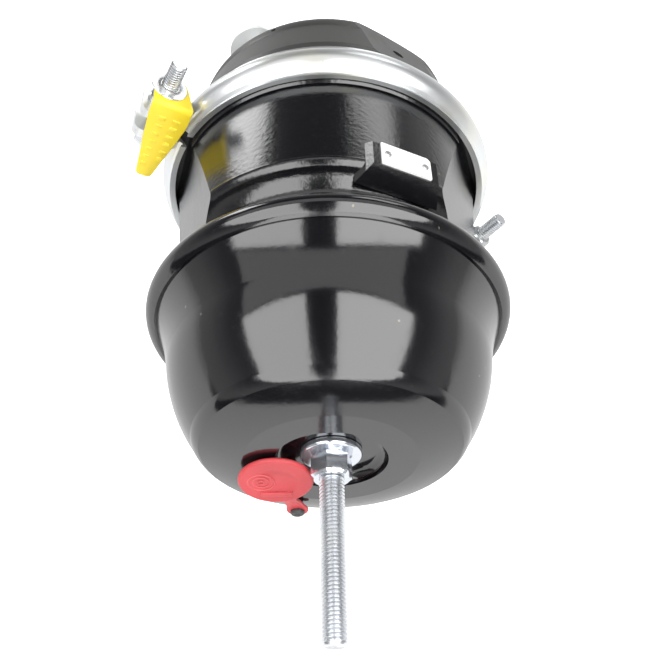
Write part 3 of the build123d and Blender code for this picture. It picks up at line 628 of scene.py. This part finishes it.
# ---------------------------------------------------------------- nameplate rivets
PLATE_CLOCK, PLATE_Y, PLATE_OUT = radians(25.6), -141.0, 96.5
RIVET_SHIFT = 11.0             # each way from the plate's middle
own = Matrix(((cos(PLATE_CLOCK), sin(PLATE_CLOCK), 0), (0, 0, -1), (-sin(PLATE_CLOCK), cos(PLATE_CLOCK), 0)))
plate = Matrix.Translation((0, PLATE_Y * MM, 0)) @ own.to_4x4()
rivets = []
for shift in (-RIVET_SHIFT, RIVET_SHIFT):
    spot = plate @ Matrix.Translation((shift * MM, PLATE_OUT * MM, 0))
    rivets.append(lathe(outline((0, -3.0), (1.1, -3.0), (1.1, 0.0), (2.0, 0.0), (1.75, 0.62, 0.9, 0.85),
                                (0.35, 0.62), (0, 0.6), fine=6), spot, 32))
finish_mesh("nameplate_rivets_domed", joined(*rivets), RIVET_METAL, "chamber", ("nameplate_rivets",))

# ---------------------------------------------------------------- dust cap, strap and peg
CAP_CENTRE = Vector((-29.0, -271.2, -11.5))
CAP_R, CAP_T, CAP_TILT = 19.6, 2.6, 6.5
PEG = Vector((-19.3, -268.2, -54.3))
cap_place = Matrix.Translation(CAP_CENTRE * MM) @ Matrix.Rotation(radians(-CAP_TILT), 4, "X")
disc = lathe(outline((0, -CAP_T + 0.3), (9.8, -CAP_T + 0.3), (10.1, -CAP_T + 0.1), (13.2, -CAP_T + 0.05),
                     (13.5, -CAP_T), (17.8, -CAP_T), (19.0, -CAP_T + 0.15, CAP_R, -CAP_T + 0.9),
                     (19.5, -0.4, 18.9, 0.0), (11.0, 0.0), (10.8, 1.6), (10.2, 2.0), (0, 2.0), fine=6),
             cap_place)
RING_SHIFT = -7.6              # middle of the plain rings on the cap's face
ring_place = cap_place @ Matrix.Translation((RING_SHIFT * MM, 0, 0))
rings = [
    lathe(outline((r - 0.25, -CAP_T + 0.1), (r - 0.12, -CAP_T - 0.16), (r + 0.12, -CAP_T - 0.16),
                  (r + 0.25, -CAP_T + 0.1)), ring_place, 72)
    for r in (7.0, 4.4, 1.6)
]
pad = moved(rounded_box((8.6, 0.7, 1.9), (0, -CAP_T - 0.3, -10.6), 0.6), cap_place)


def strap_mesh():
    """Flat strap from under the disc down to the eyelet round the peg."""
    bm = bmesh.new()
    rows = []
    # (x, y, z) of the middle of the outer face, half width
    path = ((-24.5, -271.6, -25.0, 5.2), (-24.2, -271.9, -31.0, 5.0), (-23.9, -271.8, -34.0, 4.8),
            (-23.0, -270.6, -37.0, 4.5), (-22.0, -269.4, -40.5, 4.4), (-21.0, -268.8, -44.5, 4.5),
            (-20.2, -268.4, -48.5, 5.0), (-19.6, -268.3, -52.0, 5.9), (-19.3, -268.2, -55.0, 6.1),
            (-19.3, -268.2, -57.6, 5.2), (-19.3, -268.2, -59.4, 3.6), (-19.3, -268.2, -60.4, 1.2))
    for x, y, z, half in path:
        section = ((-half, 0.4), (-half, 1.6), (-half + 0.4, 2.0), (half - 0.4, 2.0), (half, 1.6),
                   (half, 0.4), (half - 0.4, 0.0), (-half + 0.4, 0.0))
        rows.append([bm.verts.new(Vector((x + side, y - depth, z)) * MM) for side, depth in section])
    return skinned(bm, rows, "strap")


finish_mesh("dust_cap_moulded", joined(disc, *rings, pad, strap_mesh()),
            CAP_RED, "cap", ("dust_cap",), angle=40)
finish_mesh(
    "cap_peg_domed",
    lathe(outline((0, 9.0), (2.9, 9.0), (2.9, -2.1), (3.9, -2.1), (4.0, -3.0, 3.3, -4.2), (1.7, -4.4),
                  (1.5, -3.9), (0, -3.9), fine=6), Matrix.Translation(PEG * MM), 48),
    PEG_BLACK, "chamber", ("cap_peg",),
)

# ---------------------------------------------------------------- mounting studs and push rod
STUD_AT = 60.325               # stud from the axis
STUD_R, STUD_PITCH = 7.94, INCH / 11
ROD_R, ROD_PITCH = 7.93, INCH / 18
STUD_NUT_ACROSS, STUD_NUT_BORE = 23.8, 7.99
for k, clock in enumerate((radians(-46), radians(134))):
    spot = Matrix.Translation(Vector((STUD_AT * sin(clock), 0, STUD_AT * cos(clock))) * MM)
    finish_mesh(
        "mounting_stud_%d" % (k + 1),
        joined(lathe(outline((0, -8.6), (10.6, -8.6), (11.0, -8.2), (11.0, -3.62), (STUD_R, -3.62),
                             (STUD_R, 12.0), (0, 12.0)), spot, 64),
               thread(STUD_R, STUD_PITCH, 11.5, 38.0, turn=spot)),
        STUD_ZINC_PAINTED_BRIGHT, "chamber", ("mounting_studs",), angle=50,
    )
    finish_mesh("stud_nut_%d" % (k + 1), hex_nut(STUD_NUT_ACROSS, 20.1, 34.0, STUD_NUT_BORE, turn=spot),
                STUD_ZINC_PAINTED_BRIGHT, "chamber", ("stud_nuts",), angle=25)
ROD_LOW, ROD_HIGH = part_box("push_rod")
rod_foot, rod_tip = ROD_LOW.y / MM, ROD_HIGH.y / MM
finish_mesh(
    "push_rod_threaded",
    joined(lathe(outline((0, rod_foot), (ROD_R, rod_foot), (ROD_R, 40.0), (0, 40.0)), segments=64),
           thread(ROD_R, ROD_PITCH, 39.5, rod_tip)),
    ZINC, "service_piston", ("push_rod",), angle=50,
)
finish_mesh("jam_nut_chamfered", hex_nut(STUD_NUT_ACROSS, 62.0, 71.5, STUD_NUT_BORE),
            ZINC, "service_piston", ("push_rod_jam_nut",), angle=25)


# ---------------------------------------------------------------- camera, floor, lamps
def look(yaw, pitch, roll):
    """Camera rotation from degrees: yaw about Z from +Y, pitch downward, roll."""
    cy, sy, cp, sp = cos(radians(yaw)), sin(radians(yaw)), cos(radians(pitch)), sin(radians(pitch))
    ahead = Vector((sy * cp, cy * cp, -sp))
    right = Vector((cy, -sy, 0))
    up = right.cross(ahead)
    cr, sr = cos(radians(roll)), sin(radians(roll))
    right, up = cr * right + sr * up, cr * up - sr * right
    return Matrix((right, up, -ahead)).transposed()


camera_data = bpy.data.cameras.new("camera")
camera_data.sensor_width = 36.0
camera_data.lens = 44.62
camera_data.clip_start = 0.01
camera = bpy.data.objects.new("camera", camera_data)
camera.matrix_world = Matrix.Translation((-0.00148, -0.46678, 0.38061)) @ look(1.07, 53.81, -0.12).to_4x4()
bpy.context.scene.collection.objects.link(camera)
bpy.context.scene.camera = camera
bpy.context.scene.view_settings.view_transform = "Standard"


WHITE = (1.0, 1.0, 1.0, 1.0)
FLOOR_HALF = 6
TABLE_EDGE = -0.49              # front edge of the white table, out of the camera's view
corners = [(-FLOOR_HALF, TABLE_EDGE, FLOOR_Z), (FLOOR_HALF, TABLE_EDGE, FLOOR_Z),
           (FLOOR_HALF, FLOOR_HALF, FLOOR_Z), (-FLOOR_HALF, FLOOR_HALF, FLOOR_Z)]
floor_mesh = bpy.data.meshes.new("floor")
floor_mesh.from_pydata(corners, [], [(0, 1, 2, 3)])
floor = bpy.data.objects.new("floor", floor_mesh)
bpy.context.scene.collection.objects.link(floor)
material, p = new_paint("pale_floor")
sheet = p.node("BsdfDiffuse", {"Color": (0.86, 0.86, 0.86, 1.0)})
glow = p.node("Emission", {"Color": WHITE, "Strength": 0.85})
both = p.node("AddShader", {0: sheet.outputs[0], 1: glow.outputs[0]})
faint = p.node("AddShader", {0: p.node("BsdfDiffuse", {"Color": (0.34, 0.34, 0.34, 1.0)}).outputs[0],
                             1: p.node("Emission", {"Color": WHITE, "Strength": 0.55}).outputs[0]})
path = p.node("LightPath")
mirrored = p.node("MixShader", {0: path.outputs["Is Glossy Ray"], 1: sheet.outputs[0], 2: faint.outputs[0]})
straight = p.maths("MAXIMUM", path.outputs["Is Camera Ray"], path.outputs["Is Transmission Ray"])
shown = p.node("MixShader", {0: straight, 1: mirrored.outputs[0], 2: both.outputs[0]})
p.node("OutputMaterial", {"Surface": shown.outputs[0]})
floor_mesh.materials.append(material)
floor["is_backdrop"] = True

world = bpy.data.worlds.new("studio")
bpy.context.scene.world = world
p = Paint(world)
path = p.node("LightPath")
direction = p.node("SeparateXYZ", {0: p.node("TexCoord").outputs["Generated"]})
height = Value(p, direction.outputs[2])
# brightness of the room in reflections, from straight down (0) to straight up (1)
ROOM = ((0.0, 0.05), (0.44, 0.05), (0.48, 0.50), (0.58, 0.42), (0.70, 0.16), (0.82, 0.04), (1.0, 0.03))
room = p.value(p.node("ValToRGB", {0: height * 0.5 + 0.5}, stops=ROOM))
mirrored = Value(p, path.outputs["Is Glossy Ray"])
plain = 1.0 - p.maths("MAXIMUM", mirrored, path.outputs["Is Diffuse Ray"])
strength = plain + mirrored * room + Value(p, path.outputs["Is Diffuse Ray"]) * 0.42
backdrop = p.node("Background", {"Color": WHITE, "Strength": strength})
p.node("OutputWorld", {"Surface": backdrop.outputs[0]})


def softbox(name, centre, toward, size, radiance):
    """Rectangular white lamp of a set brightness."""
    data = bpy.data.lights.new(name, "AREA")
    data.shape = "RECTANGLE"
    data.size, data.size_y = size
    data.energy = radiance * pi * size[0] * size[1]
    lamp = bpy.data.objects.new(name, data)
    facing = (Vector(centre) - Vector(toward)).to_track_quat("Z", "Y")
    lamp.matrix_world = Matrix.Translation(centre) @ facing.to_matrix().to_4x4()
    bpy.context.scene.collection.objects.link(lamp)


AIM = (0.0, -0.15, 0.0)
softbox("softbox_left", (-0.82, -1.50, 1.0), (-0.82, -1.50, 0.0), (1.16, 2.9), 3.8)
softbox("softbox_right", (0.74, -1.50, 1.0), (0.74, -1.50, 0.0), (1.30, 2.9), 4.4)
softbox("front_left", (-0.61, -2.98, 0.02), (-0.61, 0.0, 0.02), (0.74, 1.9), 3.2)
softbox("front_right", (0.57, -2.98, 0.02), (0.57, 0.0, 0.02), (1.02, 1.9), 3.5)
softbox("top_band", (-0.15, 0.26, 1.02), (-0.15, 0.26, 0.0), (2.5, 0.52), 0.8)
softbox("back_left", (-0.88, 1.10, 0.52), AIM, (0.40, 0.55), 4.6)
softbox("back_right", (0.62, 1.15, 0.86), AIM, (0.62, 0.4), 2.4)

low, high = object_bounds()
